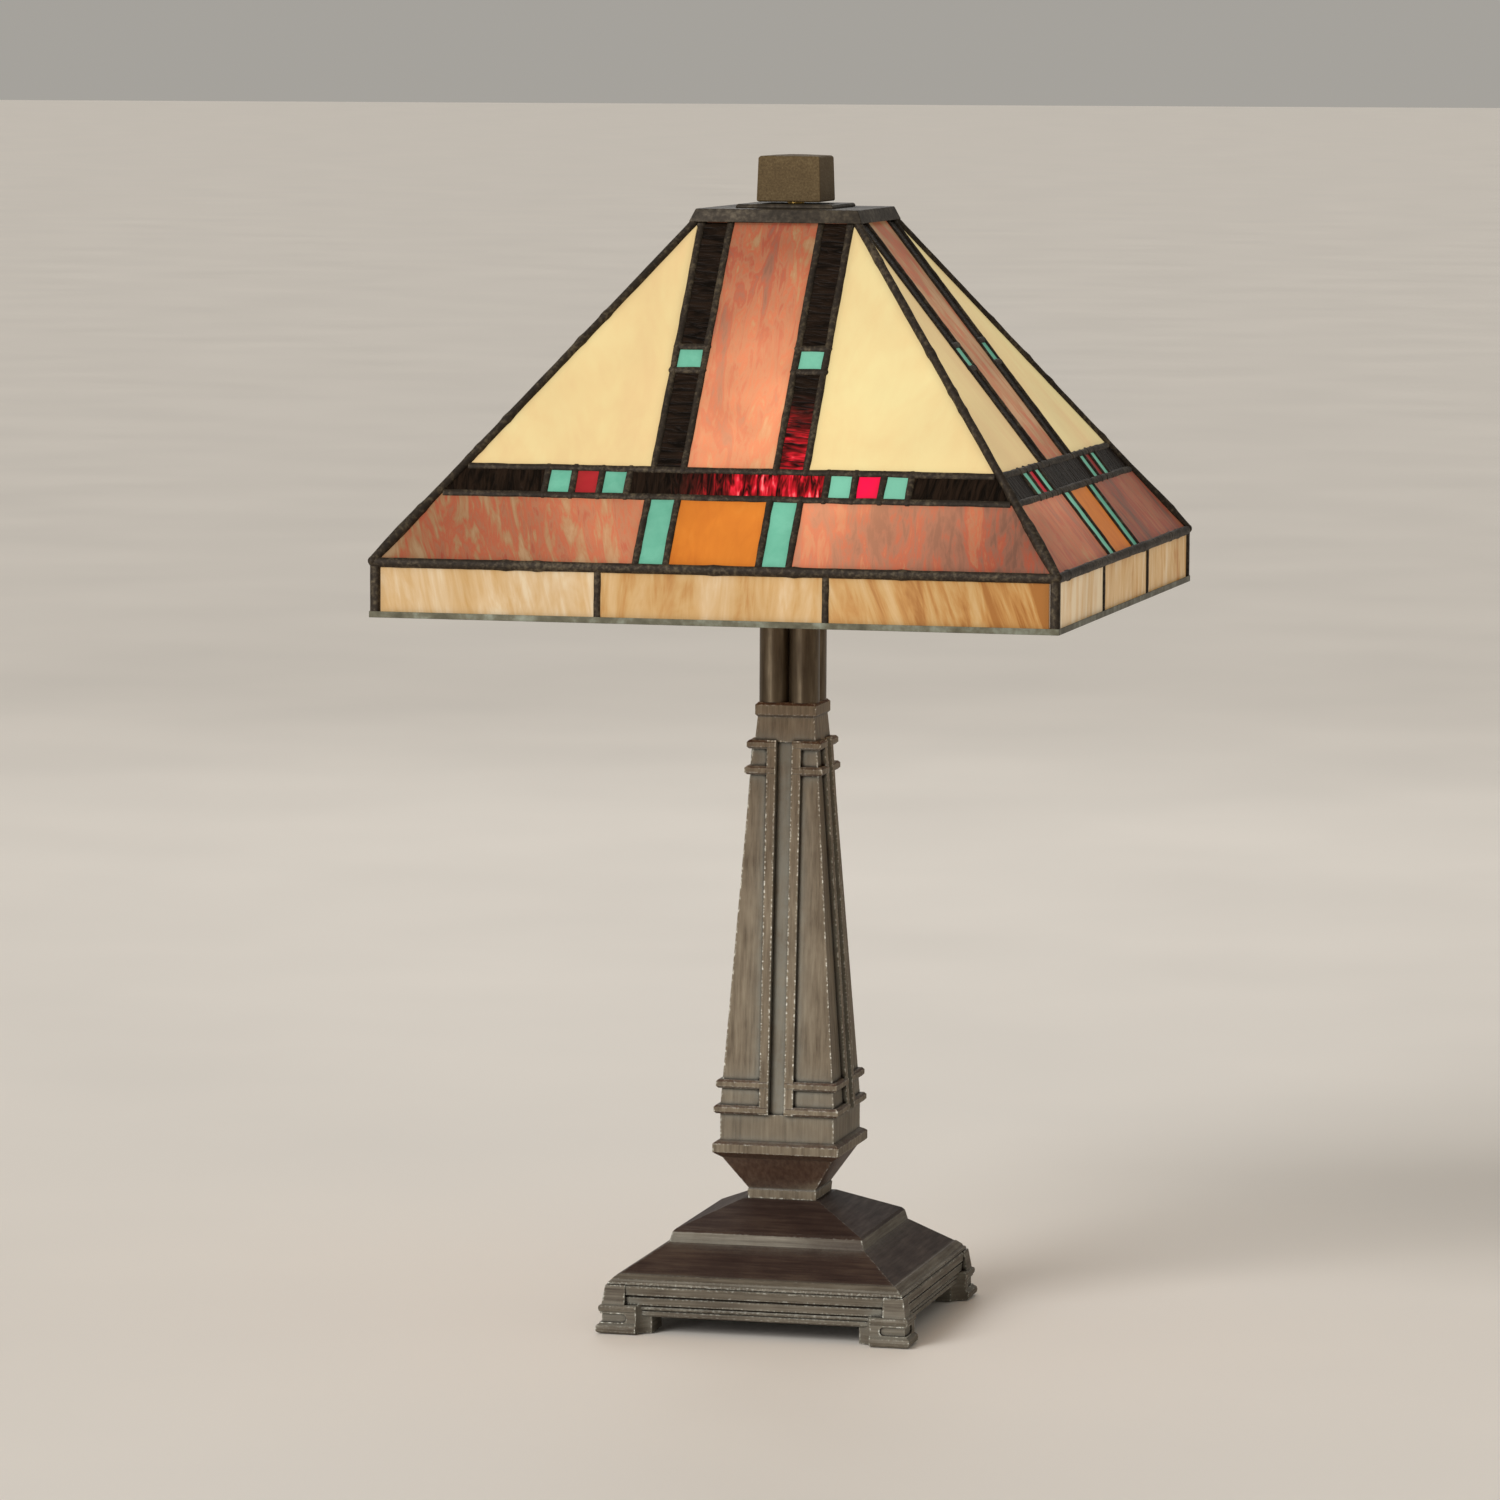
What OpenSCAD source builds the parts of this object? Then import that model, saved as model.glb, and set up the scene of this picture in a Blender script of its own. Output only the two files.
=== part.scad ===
// Square stained glass table lamp: a four-sided leaded shade with an upright apron,
// hung from a riser rod over a two-light socket cluster, on a cast tapered column and footed base.
// Millimetres, +Z up, origin on the table under the middle of the lamp. Front is -Y.

/* [Shade] */
// Width of the shade across the glass at the eave
shade_w = 354; // [346:1:362]
// Height of the shade's lower rim above the table
rim_z = 380.5; // [377:0.5:383]
// Height of the upright apron under the eave
apron_h = 28.5; // [26:0.5:32]
// Angle of the sloping sides above level
slope_angle = 51.7; // [51:0.1:52.2]
// Length of the sloping sides from the eave to their top edge
slope_len = 217; // [215:0.5:218]
// Thickness of the glass
glass_t = 3; // [2.6:0.1:3]
// Width of the solder line seen between two panes
line_w = 3.4; // [3:0.1:3.8]

/* [Pattern] */
// Inner edge line of the dark strips, from the middle of a side
strip_in = 24; // [22:0.5:26]
// Outer edge line of the dark strips, from the middle of a side
strip_out = 39.6; // [38:0.2:42]
// Lower line of the dark band, up the slope from the eave
band_lo = 43.2; // [40:0.2:46]
// Upper line of the dark band, up the slope from the eave
band_hi = 60; // [58:0.5:64]
// Lower line of the small square tile in each strip, up the slope
tile_lo = 122; // [110:1:130]
// First line of the three band tiles, from the middle of a side
band_tile_start = 51.5; // [48:0.5:54]
// Spacing of the band tiles
band_tile_pitch = 14.4; // [13.5:0.1:15]

/* [Cap and finial] */
// Width of the cap at its lower edge
cap_w = 92; // [91:0.5:94]
// Width of the finial block
finial_w = 34; // [28:1:38]
// Height of the finial block
finial_h = 24.4; // [18:0.2:28]

/* [Column] */
// Height of the top of the cast column
column_top = 327; // [324:0.5:330]
// Width across the column's corner panels at the upper rings
column_w_top = 34.4; // [33:0.2:36]
// Width across the column's corner panels at the lower rings
column_w_low = 61.4; // [59:0.2:64]
// Width of the sunk channel in each face
channel_w = 8.6; // [7.6:0.2:9]
// Width of the raised ribs beside the channel
rib_w = 4.8; // [4:0.2:5.4]

/* [Lights] */
// Turn of the pair of sockets about the rod, from square to the shade
pair_turn = 18; // [10:1:20]

/* [Base] */
// Width of the base across its feet
base_w = 168; // [164:1:174]
// Height of the base casting
base_top = 64.5; // [63:0.5:65]

/* [Hidden] */
$fn = 48;
side_names = ["front", "right", "back", "left"];
eave_z = rim_z + apron_h;
eave_half = shade_w / 2;
flange_h = 1;            // solder standing proud of the glass outside
inner_flange_h = 0.8;    // and inside
heart_half = 0.5;        // half the metal between two panes
pane_clear = 0.05;
pane_gap = heart_half + pane_clear;
tile_hi = tile_lo + strip_out - strip_in - 1;
tile_lines = [for (i = [0:3]) band_tile_start + i * band_tile_pitch];
hip_stretch = sqrt(1 + pow(cos(slope_angle), 2));
hip_cut = 2.6;           // lattice ends this far from the hip, so that neighbours clear inside
hip_pane = 3.15;
hip_window = 4.2;
corner_cut = glass_t + inner_flange_h + 0.05;
eave_cut = 1.4;
bead_r = 2.55;
eave_bead_r = 1.35;
rim_channel_h = 3.2;
depth = glass_t + inner_flange_h;

top_z = eave_z + slope_len * sin(slope_angle);
cap_low_z = top_z - 0.7;
cap_top_z = cap_low_z + 6.8;
cap_sheet = 0.9;
cap_top_half = cap_w / 2 - 3;
plate_half = 26;
plate_t = 2.1;
plate_top = cap_top_z + plate_t;
finial_gap = 1.1;        // brass neck seen under the finial
finial_low = plate_top + finial_gap;
finial_top = finial_low + finial_h;
rod_r = 3.175;
rod_hole_r = 3.6;
rod_top = plate_top + 7.6;
frame_z = top_z - 7;
washer_z = frame_z - 2.05;
seat_nut_z = washer_z - 6.05;

neck_r = 8.1;            // one lobe of the clustered neck
neck_pitch = 7.9;
neck_wall = 1.3;
neck_top = 375;
pipe_r = 5;
pipe_hole_r = 5.15;
neck_cap_t = 3;
cluster_z = neck_top + neck_cap_t;
socket_origin = cluster_z + 9;
socket_tilt = 66;        // from upright
socket_start = 14;       // all distances along the socket's axis
socket_wide = 26;
socket_end = 54;
socket_r = 16;
shell_t = 0.8;
liner_r = 15.1;
liner_t = 1.4;
bulb_tip = 29.4;
bulb_base_r = 13;
bulb_r = 30;
bulb_centre = 102;
bulb_wall = 0.8;
knob_at = 21.5;
knob_shaft_r = 1.5;

ring_h = 4.6;
ring_proud = 2.8;
channel_deep = 1.8;
upper_rings = [305, 291.5];
lower_rings = [126.7, 113.3];
panel_high = 307.3;
panel_low = 111;
block_low = 97;
pad_t = 1.2;
foot_low = 0.5;          // feet stand on pads
rail_low = 9.4;
foot_flat = 21.5;        // length of a foot's outer faces
foot_cove = 7;           // radius of the scoop beside them
inlet_z = 17.5;
inlet_r = 3.6;
boss_y = 80;

bronze = [0.27, 0.23, 0.19];
solder = [0.22, 0.19, 0.16];
brass = [0.72, 0.55, 0.27];

// ---------- shared shapes ----------

// A square tower: half-width against height, points [half, z] from the bottom up.
module square_loft(profile) {
    outline = concat(
        [for (p = profile) [p[0], p[1]]],
        [for (i = [len(profile) - 1:-1:0]) [-profile[i][0], profile[i][1]]]
    );
    reach = 2 * max([for (p = profile) p[0]]) + 2;
    intersection() {
        rotate([90, 0, 0])
            linear_extrude(height = reach, center = true) polygon(outline);
        rotate([90, 0, 90])
            linear_extrude(height = reach, center = true) polygon(outline);
    }
}

// A square slab with bevelled edges.
module bevel_slab(half, low, high, bevel) {
    square_loft([
        [half - bevel, low], [half, low + bevel],
        [half, high - bevel], [half - bevel, high]
    ]);
}

module tube(r_out, r_in, low, high) {
    difference() {
        translate([0, 0, low]) cylinder(r = r_out, h = high - low);
        translate([0, 0, low - 1]) cylinder(r = r_in, h = high - low + 2);
    }
}

// ---------- shade: faces and pattern ----------

// Puts children on a sloping side: x along the eave, y up the slope, z out of the glass.
module on_slope(side) {
    rotate([0, 0, 90 * side])
        translate([0, -eave_half, eave_z])
            rotate([slope_angle, 0, 0]) children();
}

// Puts children on an upright apron side: y up from the eave (so negative), z outwards.
module on_apron(side) {
    rotate([0, 0, 90 * side])
        translate([0, -eave_half, eave_z])
            rotate([90, 0, 0]) children();
}

// Distance of the hip from the middle of a side, up the slope by v, less a gap square to the hip.
function hip(v, gap) = eave_half - v * cos(slope_angle) - gap * hip_stretch;

// Corners of a pane between two upright lines and two level lines, all edges moved in by inset.
function cell(u0, u1, v0, v1, inset) = [
    [u0 + inset, v0 + inset], [u1 - inset, v0 + inset],
    [u1 - inset, v1 - inset], [u0 + inset, v1 - inset]
];

// The same with its outer edge along the hip, ending early where the hip runs into its inner line.
function hip_cell(u0, v0, v1, inset, gap) =
    let (
        meet = (eave_half - gap * hip_stretch - u0 - inset - 0.6) / cos(slope_angle),
        high = min(v1 - inset, meet)
    ) [
        [u0 + inset, v0 + inset], [hip(v0 + inset, gap), v0 + inset],
        [hip(high, gap), high], [u0 + inset, high]
    ];

top_line = slope_len - 0.6;
eave_line = 0.95 + heart_half;

// Every pane outline of one kind on a sloping side. g is the inset from the lines, h from the hip.
function one_side(kind, g, h) =
    kind == "cream" ? [hip_cell(strip_out, band_hi, top_line, g, h)] :
    kind == "rose" ? [hip_cell(strip_out, eave_line, band_lo, g, h)] :
    kind == "ruby" ? [
        cell(strip_in, strip_out, band_hi, tile_lo, g),
        cell(strip_in, strip_out, tile_hi, top_line, g),
        hip_cell(tile_lines[3], band_lo, band_hi, g, h)
    ] :
    kind == "teal" ? [
        cell(strip_in, strip_out, tile_lo, tile_hi, g),
        cell(tile_lines[0], tile_lines[1], band_lo, band_hi, g),
        cell(tile_lines[2], tile_lines[3], band_lo, band_hi, g),
        cell(strip_in, strip_out, eave_line, band_lo, g)
    ] :
    kind == "red" ? [cell(tile_lines[1], tile_lines[2], band_lo, band_hi, g)] : [];

function middle(kind, g) =
    kind == "rose" ? [cell(-strip_in, strip_in, band_hi, top_line, g)] :
    kind == "ruby" ? [cell(-tile_lines[0], tile_lines[0], band_lo, band_hi, g)] :
    kind == "amber" ? [cell(-strip_in, strip_in, eave_line, band_lo, g)] : [];

kinds = ["cream", "rose", "ruby", "teal", "red", "amber"];
apron_third = eave_half / 3;

function apron_cells(g, end_gap) = [
    cell(-eave_half + end_gap - g, -apron_third, -apron_h + 2.2, -eave_line, g),
    cell(-apron_third, apron_third, -apron_h + 2.2, -eave_line, g),
    cell(apron_third, eave_half - end_gap + g, -apron_h + 2.2, -eave_line, g)
];

module prism(points, low, high) {
    translate([0, 0, low]) linear_extrude(height = high - low) polygon(points);
}

module slope_cells(kind, g, h, low, high) {
    for (points = one_side(kind, g, h)) {
        prism(points, low, high);
        mirror([1, 0, 0]) prism(points, low, high);
    }
    for (points = middle(kind, g)) prism(points, low, high);
}

module panes(kind, side) {
    on_slope(side) slope_cells(kind, pane_gap, hip_pane, -glass_t, 0);
}

module apron_panes(side) {
    on_apron(side)
        for (points = apron_cells(pane_gap, corner_cut + heart_half + pane_clear))
            prism(points, -glass_t, 0);
}

// H-section metal round every pane of a sloping side: a plate less the windows and the panes' slots.
module lattice(side) {
    window = line_w / 2;
    outline = [
        [-hip(eave_cut, hip_cut), eave_cut], [hip(eave_cut, hip_cut), eave_cut],
        [hip(slope_len, hip_cut), slope_len], [-hip(slope_len, hip_cut), slope_len]
    ];
    on_slope(side) difference() {
        prism(outline, -depth, flange_h);
        for (kind = kinds) {
            slope_cells(kind, window, hip_window, -depth - 1, flange_h + 1);
            slope_cells(kind, heart_half, hip_pane - pane_clear, -glass_t, 0);
        }
    }
}

module apron_lattice(side) {
    ends = eave_half - corner_cut;
    low = -apron_h + 1.2;
    on_apron(side) difference() {
        prism([[-ends, low], [ends, low], [ends, -eave_cut], [-ends, -eave_cut]], -depth, flange_h);
        for (points = apron_cells(line_w / 2, corner_cut + line_w / 2))
            prism(points, -depth - 1, flange_h + 1);
        for (points = apron_cells(heart_half, corner_cut + heart_half)) prism(points, -glass_t, 0);
    }
}

// Solder beads where the sides meet: up the hips, round the eave and down the apron's corners.
module seam_beads() {
    hip_rise = cap_low_z - 2.3 - eave_z;
    hip_run = hip_rise / sin(slope_angle);
    post_low = rim_z + rim_channel_h + 0.05;
    post = corner_cut - 0.05;
    round_r = 2.4;
    outer = eave_half + flange_h + 0.3;
    for (side = [0:3]) rotate([0, 0, 90 * side]) {
        translate([eave_half, -eave_half, eave_z])
            multmatrix(hip_frame()) cylinder(r = bead_r, h = hip_run * hip_stretch);
        translate([-eave_half, -eave_half, eave_z])
            rotate([0, 90, 0]) cylinder(r = eave_bead_r, h = 2 * eave_half);
        translate([0, 0, post_low]) linear_extrude(height = eave_z - post_low) {
            difference() {
                translate([eave_half - post, -outer]) square([outer - eave_half + post, outer - eave_half + post]);
                translate([outer - round_r, -outer]) square([round_r, round_r]);
            }
            translate([outer - round_r, -outer + round_r]) circle(r = round_r);
        }
        translate([eave_half, -eave_half, eave_z]) sphere(r = bead_r);
    }
}

// Turns +Z to run along the hip of the corner at +X -Y.
function hip_frame() =
    let (
        run = [-cos(slope_angle), cos(slope_angle), sin(slope_angle)] / hip_stretch,
        across = [1, 1, 0] / sqrt(2),
        third = cross(run, across)
    ) [
        [across[0], third[0], run[0], 0],
        [across[1], third[1], run[1], 0],
        [across[2], third[2], run[2], 0],
        [0, 0, 0, 1]
    ];

// U-section channel round the lower rim, in four mitred bars.
module rim_channel() {
    out = eave_half + flange_h + 0.4;
    in = eave_half - depth - 0.4;
    for (side = [0:3]) rotate([0, 0, 90 * side]) intersection() {
        translate([0, 0, rim_z]) difference() {
            translate([-out, -out, 0]) cube([2 * out, out - in, rim_channel_h]);
            translate([-out - 1, -eave_half - flange_h, 1.2])
                cube([2 * out + 2, flange_h + depth, 3]);
        }
        linear_extrude(height = 2 * rim_z)
            polygon([[0, -0.02], [-2 * out, -2 * out - 0.02], [2 * out, -2 * out - 0.02]]);
    }
}

// ---------- shade top, cap and finial ----------

module top_frame() {
    sheet = 1.5;
    half = (top_z - frame_z - sheet) / tan(slope_angle) + eave_half - slope_len * cos(slope_angle)
        - depth / sin(slope_angle) - 0.3;
    vent_r = 7;
    translate([0, 0, frame_z]) difference() {
        translate([-half, -half, 0]) cube([2 * half, 2 * half, sheet]);
        translate([0, 0, -1]) cylinder(r = rod_hole_r, h = 4);
        for (side = [0:3]) rotate([0, 0, 90 * side + 45])
            translate([28, 0, -1]) cylinder(r = vent_r, h = 4);
        for (side = [0:3]) rotate([0, 0, 90 * side])
            translate([22, 0, -1]) cylinder(r = vent_r, h = 4);
    }
}

module cap_skirt() {
    low_half = cap_w / 2;
    difference() {
        square_loft([[low_half, cap_low_z], [cap_top_half, cap_top_z]]);
        square_loft([
            [low_half - cap_sheet, cap_low_z - 1], [low_half - cap_sheet, cap_low_z],
            [cap_top_half - cap_sheet, cap_top_z - cap_sheet]
        ]);
        translate([0, 0, cap_top_z - 3]) cylinder(r = rod_hole_r, h = 6);
    }
}

module cap_plate() {
    difference() {
        square_loft([
            [plate_half, cap_top_z], [plate_half, plate_top - 1], [plate_half - 0.8, plate_top]
        ]);
        translate([0, 0, cap_top_z - 1]) cylinder(r = rod_hole_r, h = plate_t + 2);
    }
}

module finial_bush() {
    low = plate_top + 0.05;
    translate([0, 0, low]) difference() {
        cylinder(r = 4.5, h = 15);
        translate([0, 0, -1]) cylinder(r = rod_r + 0.05, h = 13);
    }
}

module finial() {
    half = finial_w / 2;
    difference() {
        square_loft([
            [half - 0.6, finial_low], [half, finial_low + 0.6], [half - 0.7, finial_top - 1.6],
            [half - 1.6, finial_top - 0.7], [4, finial_top], [0.5, finial_top]
        ]);
        translate([0, 0, finial_low - 1]) cylinder(r = 4.55, h = 16);
    }
}

module seat_washer() {
    tube(13, rod_r + 0.08, washer_z, washer_z + 2);
}

module seat_nut() {
    translate([0, 0, seat_nut_z]) difference() {
        cylinder(r = 7, h = 6, $fn = 6);
        translate([0, 0, -1]) cylinder(r = rod_r + 0.02, h = 8);
    }
}

module riser_rod() {
    low = socket_origin + 8;
    translate([0, 0, low]) cylinder(r = rod_r, h = rod_top - low);
}

// ---------- sockets and bulbs ----------

// Puts children on a socket's axis: +Z runs out through the bulb. Set 0 faces front, 1 faces back.
module on_socket(set) {
    rotate([0, 0, 180 * set + pair_turn])
        translate([0, 0, socket_origin])
            rotate([socket_tilt, 0, 0]) children();
}

module cluster_body() {
    difference() {
        union() {
            translate([0, 0, cluster_z]) cylinder(r = 10.5, h = 13);
            translate([0, 0, cluster_z + 12]) cylinder(r = 4.2, h = 12);
            for (set = [0:1]) on_socket(set) cylinder(r = 8.5, h = socket_start);
        }
        translate([0, 0, cluster_z - 1]) cylinder(r = pipe_hole_r, h = 9);
        translate([0, 0, socket_origin + 7.5]) cylinder(r = rod_r + 0.02, h = 20);
        for (set = [0:1]) on_socket(set)
            translate([0, 0, 4]) cylinder(r = 4, h = socket_start);
    }
}

module socket_shell(set) {
    on_socket(set) difference() {
        union() {
            translate([0, 0, socket_start])
                cylinder(r1 = 9, r2 = socket_r, h = socket_wide - socket_start);
            translate([0, 0, socket_wide]) cylinder(r = socket_r, h = socket_end - socket_wide);
        }
        translate([0, 0, socket_start - 1]) cylinder(r = 4, h = 3);
        translate([0, 0, socket_start + 1])
            cylinder(r1 = 8.6, r2 = socket_r - shell_t, h = socket_wide - socket_start - 1);
        translate([0, 0, socket_wide - 0.01])
            cylinder(r = socket_r - shell_t, h = socket_end - socket_wide + 1);
        switch_bore();
    }
}

module switch_bore() {
    translate([2, 0, knob_at]) rotate([0, 90, 0]) cylinder(r = knob_shaft_r + 0.06, h = 30);
}

module socket_liner(set) {
    on_socket(set) difference() {
        union() {
            tube(liner_r, liner_r - liner_t, socket_wide + 0.4, socket_end - 0.6);
            translate([0, 0, socket_wide + 0.4]) cylinder(r = liner_r - 0.5, h = 2);
            translate([0, 0, socket_start + 1.2]) cylinder(r = 8, h = socket_wide - socket_start);
        }
        switch_bore();
    }
}

module switch_knob(set) {
    on_socket(set) translate([0, 0, knob_at]) rotate([0, 90, 0]) difference() {
        union() {
            translate([0, 0, 3]) cylinder(r = knob_shaft_r, h = 15);
            translate([0, 0, 16.5]) cylinder(r = 4.2, h = 2.5);
            translate([0, 0, 18.5]) cylinder(r = 5.5, h = 9);
        }
        for (flat = [-1, 1]) translate([flat * 5, 0, 27.5])
            rotate([90, 0, 0]) cylinder(r = 3, h = 20, center = true);
    }
}

module bulb_base(set) {
    on_socket(set) {
        translate([0, 0, bulb_tip]) cylinder(r = 4.5, h = 2);
        translate([0, 0, bulb_tip + 1.5]) cylinder(r1 = 7, r2 = bulb_base_r, h = 3);
        translate([0, 0, bulb_tip + 4.5]) cylinder(r = bulb_base_r, h = 21.5);
    }
}

// Pear-shaped outline: a neck that flares on an arc into the round end.
function bulb_outline(r, neck_r, low) =
    let (
        start = asin(neck_r / r) + 24,
        swing = [for (a = [180 - start:-6:0]) [r * sin(a), bulb_centre + r * cos(a)]],
        joint = swing[0]
    ) concat(
        [[0, low], [neck_r, low], [neck_r + 0.3, low + 6]],
        [for (t = [0.25:0.25:0.75]) [
            neck_r + 0.3 + (joint[0] - neck_r - 0.3) * t * t,
            low + 6 + (joint[1] - low - 6) * (1.25 * t - 0.25 * t * t)
        ]],
        swing,
        [[0, bulb_centre + r]]
    );

module bulb_glass(set) {
    low = bulb_tip + 26;
    on_socket(set) rotate_extrude() difference() {
        polygon(bulb_outline(bulb_r, bulb_base_r - 0.4, low));
        polygon(bulb_outline(bulb_r - bulb_wall, bulb_base_r - 0.4 - bulb_wall, low - 0.5));
    }
}

// ---------- neck, column and base ----------

module lobes(r) {
    for (x = [-1, 1], y = [-1, 1])
        translate([x * neck_pitch, y * neck_pitch]) circle(r = r);
}

module neck_sleeve() {
    translate([0, 0, column_top]) linear_extrude(height = neck_top - column_top) difference() {
        lobes(neck_r);
        lobes(neck_r - neck_wall);
        circle(r = pipe_hole_r + 0.1);
    }
}

module neck_cap() {
    difference() {
        bevel_slab(17.5, neck_top, cluster_z, 0.6);
        translate([0, 0, neck_top - 1]) cylinder(r = pipe_hole_r, h = neck_cap_t + 2);
    }
}

// Half-width of the corner panels at a height.
function panel_half(z) =
    column_w_top / 2
    + (column_w_low - column_w_top) / 2 * (upper_rings[0] - z) / (upper_rings[0] - lower_rings[1]);

module taper(extra, low, high) {
    square_loft([[panel_half(low) + extra, low], [panel_half(high) + extra, high]]);
}

// Bars that keep only the faces' middle strips, from inner to outer on both sides of the middle.
module face_bars(inner, outer, low, high) {
    reach = column_w_low;
    for (turn = [0, 90], side = [-1, 1]) rotate([0, 0, turn])
        translate([side > 0 ? inner : -outer, -reach, low]) cube([outer - inner, 2 * reach, high - low]);
}

module column_ring(z) {
    half = panel_half(z) + ring_proud;
    low = z - ring_h / 2;
    difference() {
        bevel_slab(half, low, low + ring_h, 1.1);
        for (turn = [0, 90]) rotate([0, 0, turn])
            translate([-channel_w / 2, -column_w_low, low - 1]) cube([channel_w, 2 * column_w_low, ring_h + 2]);
    }
}

module column_shaft() {
    half_channel = channel_w / 2;
    taper(-channel_deep, panel_low - 0.5, panel_high + 0.2);
    difference() {
        taper(0, panel_low, panel_high - 1.5);
        for (turn = [0, 90]) rotate([0, 0, turn])
            translate([-half_channel, -column_w_low, panel_low - 1])
                cube([channel_w, 2 * column_w_low, panel_high]);
    }
    intersection() {
        taper(ring_proud - 0.3, panel_low + 0.2, panel_high);
        face_bars(half_channel, half_channel + rib_w, panel_low, panel_high);
    }
    for (z = concat(upper_rings, lower_rings)) column_ring(z);
}

module column() {
    neck_half = panel_half(panel_high) - 0.6;
    mould_half = column_w_low / 2 + 3.3;
    collar_half = 16.4;
    collar_low = column_top - 7.8;
    difference() {
        union() {
            column_shaft();
            square_loft([[neck_half, panel_high - 1], [neck_half - 1.2, collar_low + 0.2]]);
            bevel_slab(collar_half, collar_low, column_top, 1.4);
            square_loft([
                [18.2, base_top], [18.6, base_top + 4.6], [18.1, base_top + 5.4],
                [29.6, block_low - 9.6], [mould_half - 1.2, block_low - 7.4], [mould_half, block_low - 6.4],
                [mould_half, block_low - 2], [mould_half - 1.4, block_low - 0.9], [30.6, block_low],
                [30.6, panel_low]
            ]);
        }
        translate([0, 0, base_top - 1]) cylinder(r = pipe_hole_r, h = column_top);
        square_loft([[14, base_top + 9], [26, block_low - 3], [25.5, panel_low], [11.5, panel_high]]);
    }
}

// Outline of the feet and corner blocks, [half, z]: toe, neck, ring, then the block's sloping face.
function foot_profile(half) = [
    [half - 1.4, foot_low], [half - 0.3, 1.5], [half, 3], [half - 0.4, 4.6], [half - 1.9, 5.7],
    [half - 2.1, 11.6], [half - 1.5, 12.3], [half - 1.2, 13.6], [half - 1.5, 14.9], [half - 2.7, 15.5],
    [half - 4.2, 25], [half - 4.5, 25.6]
];

// Plan of one foot, its outer corner at the origin: a square with a scoop out of each inner end.
module foot_plan() {
    back = foot_flat + foot_cove;
    difference() {
        translate([-back, -back]) square(back + 1);
        for (flip = [0:1]) mirror([flip, -flip, 0]) {
            translate([-back, -1.5]) circle(r = foot_cove);
            translate([-back - 1, -1.5]) square([foot_cove + 1, 3]);
        }
    }
}

// The round-ended panel sunk in the neck of a foot, running out round its corner.
module foot_panel() {
    high = 4.6;
    middle = 8.5;
    end = 14;
    deep = 0.9;
    for (flip = [0:1]) mirror([flip, -flip, 0]) translate([-end, -2.1 - deep, middle]) {
        rotate([-90, 0, 0]) cylinder(r = high / 2, h = 5);
        translate([0, 0, -high / 2]) cube([end + 1, 5, high]);
    }
}

module corner_feet() {
    half = base_w / 2;
    block = 15;
    difference() {
        intersection() {
            square_loft(foot_profile(half));
            for (side = [0:3]) rotate([0, 0, 90 * side]) translate([half, half, 0]) {
                linear_extrude(height = 15.4) foot_plan();
                translate([-block, -block, 15]) cube([block + 1, block + 1, 12]);
            }
        }
        for (side = [0:3]) rotate([0, 0, 90 * side]) translate([half, half, 0]) foot_panel();
    }
}

module base() {
    half = base_w / 2;
    difference() {
        union() {
            square_loft([
                [half - 7.4, rail_low], [half - 6.4, rail_low + 0.8], [half - 6.4, 12.1],
                [half - 7, 12.6], [half - 6.2, 13], [half - 5.8, 13.8], [half - 6.2, 14.6],
                [half - 6.9, 15], [half - 5.4, 15.6], [half - 5.4, 19.3], [half - 6.4, 20],
                [half - 4.9, 20.7], [half - 4.6, 25], [half - 5.6, 25.6], [half - 5.2, 26.1],
                [half - 5.5, 27.1], [half - 6.7, 27.6], [half - 7.1, 28.6], [half - 9.8, 30.8],
                [half - 10.8, 31], [53.4, 44.4], [52.4, 45], [51, 50.2],
                [49.6, 51.6], [20.5, base_top]
            ]);
            corner_feet();
            translate([0, 70, inlet_z]) rotate([-90, 0, 0]) cylinder(r = 8, h = boss_y - 70);
        }
        square_loft([
            [half - 11, rail_low - 1], [half - 11, 24], [46, 40], [42, 46], [15, 58]
        ]);
        translate([0, 0, 50]) cylinder(r = pipe_hole_r, h = 20);
        translate([0, 60, inlet_z]) rotate([-90, 0, 0]) cylinder(r = 5.2, h = 40);
        foot_pad_discs(6.6, foot_low + 0.7);
    }
}

module foot_pad_discs(r, high) {
    inset = base_w / 2 - 11;
    for (side = [0:3]) rotate([0, 0, 90 * side])
        translate([inset, inset, 0]) cylinder(r = r, h = high);
}

module base_cover() {
    half = base_w / 2 - 11.3;
    translate([0, 0, rail_low + 1]) difference() {
        translate([-half, -half, 0]) cube([2 * half, 2 * half, 2]);
        for (side = [0:3]) rotate([0, 0, 90 * side + 45])
            translate([half, 0, -1]) cylinder(r = 2.2, h = 4);
    }
}

module lamp_pipe() {
    low = 45;
    tube(pipe_r, 3.8, low, cluster_z + 7.5);
}

module pipe_nuts() {
    tube(11, pipe_r + 0.05, 56.2, 58);
    translate([0, 0, 50]) difference() {
        cylinder(r = 8.6, h = 6.2, $fn = 6);
        translate([0, 0, -1]) cylinder(r = pipe_r + 0.05, h = 9);
    }
}

// Plastic bush that lines the hole where the mains lead enters the back of the base.
module cord_bushing() {
    translate([0, boss_y, inlet_z]) rotate([-90, 0, 0]) difference() {
        union() {
            cylinder(r1 = 7, r2 = 6, h = 2.4);
            translate([0, 0, -11]) cylinder(r = 5.1, h = 11.5);
        }
        translate([0, 0, -12]) cylinder(r = inlet_r, h = 16);
    }
}

// ---------- nodes ----------

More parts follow.
